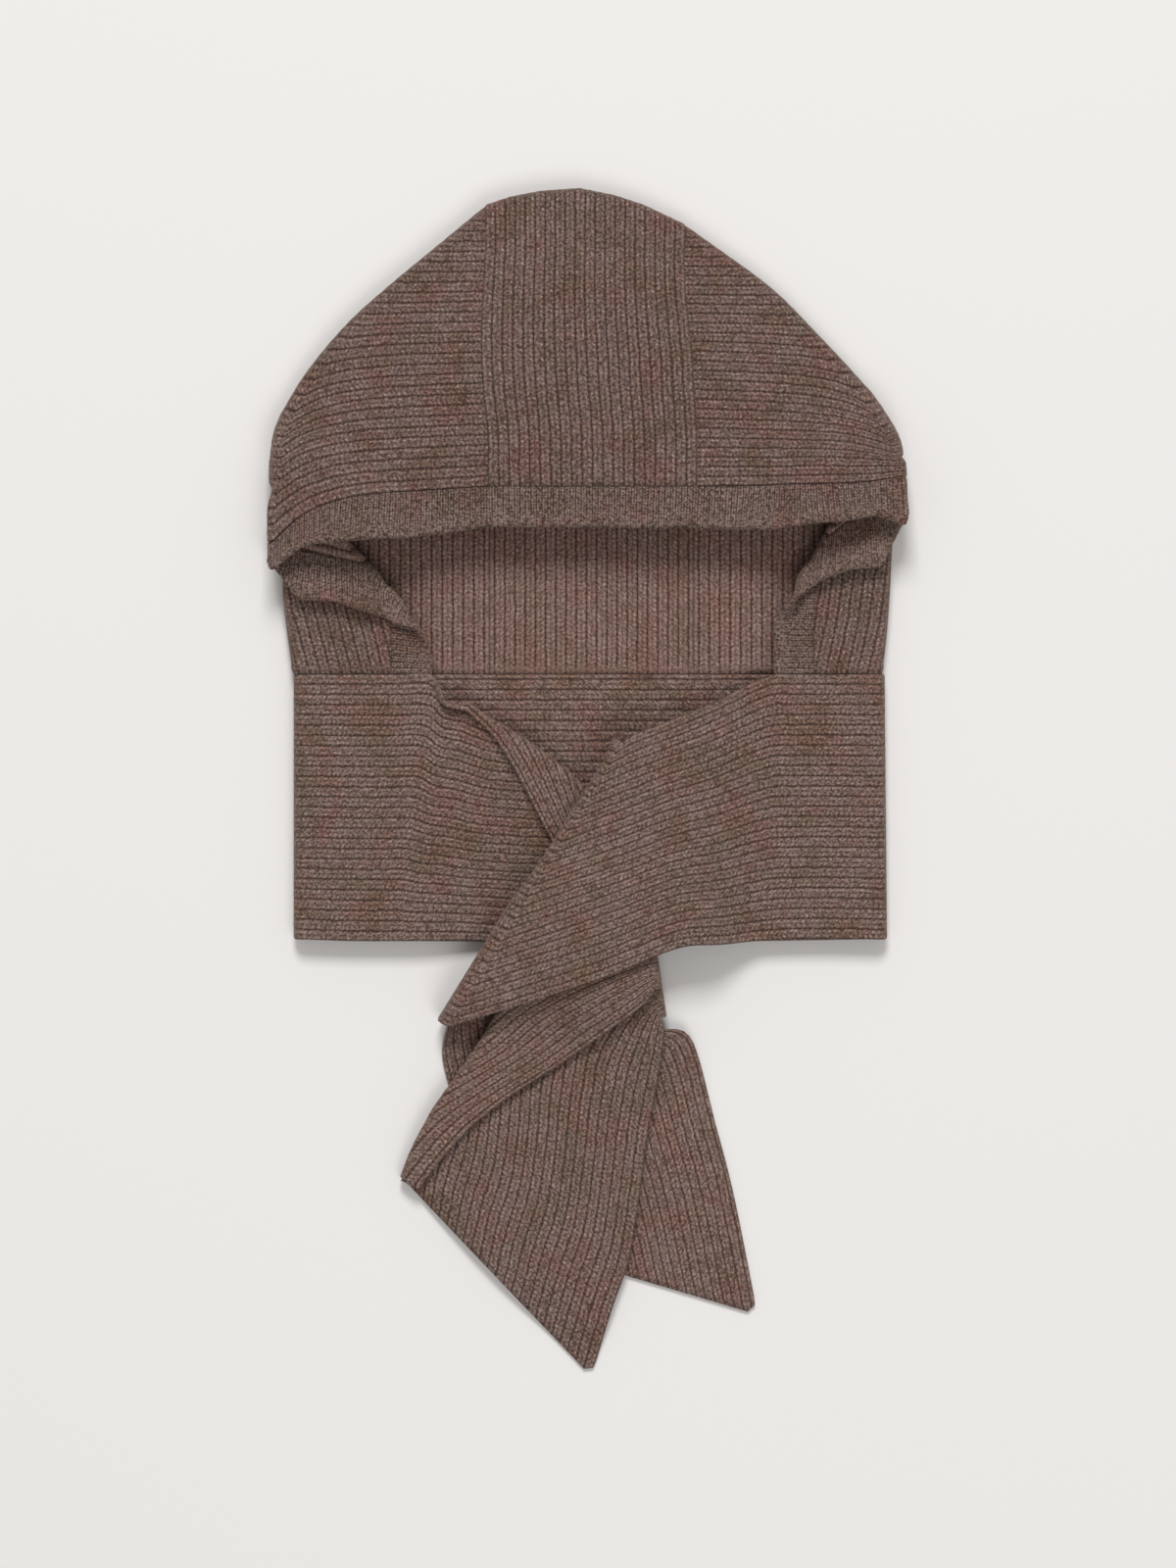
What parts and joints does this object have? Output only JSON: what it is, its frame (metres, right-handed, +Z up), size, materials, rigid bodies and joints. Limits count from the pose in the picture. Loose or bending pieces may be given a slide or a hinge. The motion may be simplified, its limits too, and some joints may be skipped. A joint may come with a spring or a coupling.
{
  "type": "snood hood",
  "caption": "Ribbed knit hood with a banded face opening and a snood collar whose two tails are tied in front, lying flat on its back.",
  "frame": {"origin": "on the surface that the hood lies on, under the middle of its outline", "axes": "+Y from the tails to the crown, +Z up away from the surface, +X across to the right seen from above"},
  "size_m": [0.3584, 0.6664, 0.0379],
  "materials": {
    "panel_knit": "heather brown wool, ribbed knit, matt and slightly fuzzy",
    "band_knit": "heather brown wool, fine ribbing across the band, matt",
    "scarf_knit": "heather brown wool, ribbed knit with its reverse showing in places, matt and slightly fuzzy"
  },
  "bodies": {
    "root": {"centre_panel": "panel_knit", "side_panel_left": "panel_knit", "side_panel_right": "panel_knit", "face_band": "band_knit", "neck_scarf": "scarf_knit"}
  },
  "joints": []
}
